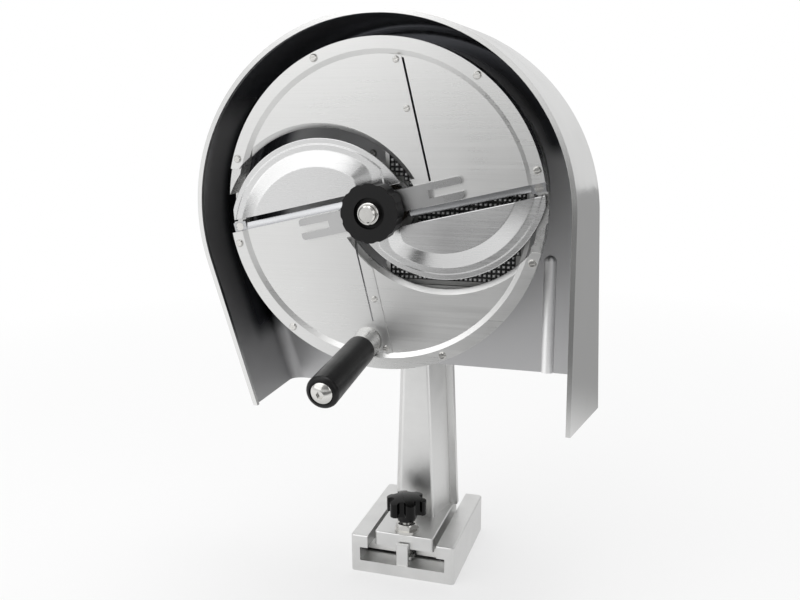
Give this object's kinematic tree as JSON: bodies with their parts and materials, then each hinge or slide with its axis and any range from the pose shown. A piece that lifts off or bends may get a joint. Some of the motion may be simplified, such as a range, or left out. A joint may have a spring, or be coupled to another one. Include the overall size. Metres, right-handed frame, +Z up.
{
  "type": "hand cranked rotary slicer",
  "caption": "Hand cranked rotary slicer: a disc with straight blades and a domed thickness plate in a bent sheet guard, fed by a toothed pusher, on a column clamped in a slotted base.",
  "frame": {"origin": "centre of the underside of the base block, on the table", "axes": "+Z up; -Y towards the user, who faces the disc and the crank; +X to the user's right, where the hopper lies behind the disc"},
  "size_m": [0.3513, 0.332, 0.531],
  "materials": {
    "cast_aluminium": "satin, as cast and lightly polished",
    "machined_aluminium": "machined",
    "stainless_sheet": "polished stainless sheet",
    "brushed_sheet": "brushed stainless sheet",
    "blade_steel": "ground",
    "bright_steel": "bright zinc or nickel",
    "black_phenolic": "glossy",
    "black_plastic": "satin",
    "bronze": "plain"
  },
  "bodies": {
    "base": {"base_block": "cast_aluminium"},
    "column_frame": {"column": "cast_aluminium", "column_bolts": "bright_steel", "clamp_nut": "bright_steel", "hopper_casting": "cast_aluminium", "guard": "stainless_sheet", "guard_screws": "bright_steel", "front_bush": "bronze", "rear_bush": "bronze"},
    "clamp_foot": {"clamp_pad": "bright_steel"},
    "clamp_screw": {"star_knob": "black_phenolic", "clamp_stud": "bright_steel"},
    "rotor": {"main_shaft": "bright_steel", "shaft_nut": "bright_steel", "disc_ring": "machined_aluminium", "upper_half_plate": "brushed_sheet", "lower_half_plate": "brushed_sheet", "right_blade": "blade_steel", "left_blade": "blade_steel", "upper_strap": "brushed_sheet", "lower_strap": "brushed_sheet", "ring_screws": "bright_steel", "strap_screws": "bright_steel", "blade_screws": "bright_steel", "arm_screws": "bright_steel", "spider": "machined_aluminium", "drive_pin": "bright_steel", "knob_retainer": "bright_steel", "crank_boss": "machined_aluminium", "crank_stud": "bright_steel", "crank_button": "bright_steel"},
    "thickness_slider": {"thickness_plate": "brushed_sheet", "thickness_sleeve": "bright_steel"},
    "thickness_dial": {"thickness_knob": "black_plastic"},
    "grip": {"crank_grip": "black_plastic"},
    "pusher": {"pusher_block": "cast_aluminium", "pusher_teeth": "cast_aluminium", "pusher_rod": "bright_steel", "pusher_knob": "black_plastic"}
  },
  "joints": [
    {"name": "foot_slide", "type": "slide", "parent": "base", "child": "column_frame", "axis": [0, 1, 0], "range_m": [0, 0.04]},
    {"name": "clamp_lift", "type": "slide", "parent": "column_frame", "child": "clamp_foot", "axis": [0, 0, 1], "range_m": [0, 0.002]},
    {"name": "clamp_turn", "type": "hinge", "parent": "clamp_foot", "child": "clamp_screw", "pos_m": [0, -0.045, 0.06], "axis": [0, 0, 1], "range_deg": [0, 480.1]},
    {"name": "crank_turn", "type": "hinge", "parent": "column_frame", "child": "rotor", "pos_m": [-0.002, -0.114, 0.37], "axis": [0, 1, 0], "continuous": true},
    {"name": "thickness_slide", "type": "slide", "parent": "rotor", "child": "thickness_slider", "axis": [0, 1, 0], "range_m": [-0.0006, 0.007]},
    {"name": "thickness_turn", "type": "hinge", "parent": "rotor", "child": "thickness_dial", "pos_m": [-0.002, -0.132, 0.37], "axis": [0, -1, 0], "range_deg": [-108.1, 1260.1]},
    {"name": "grip_spin", "type": "hinge", "parent": "rotor", "child": "grip", "pos_m": [-0.015, -0.111, 0.2525], "axis": [-0.0124, -0.9936, -0.1125], "continuous": true},
    {"name": "pusher_slide", "type": "slide", "parent": "column_frame", "child": "pusher", "axis": [0, 1, 0], "range_m": [0, 0.12]}
  ],
  "couplings": [
    {"joint": "clamp_turn", "follows": "clamp_lift", "rad_per_m": 4188.8},
    {"joint": "thickness_turn", "follows": "thickness_slide", "rad_per_m": 3141.6}
  ]
}
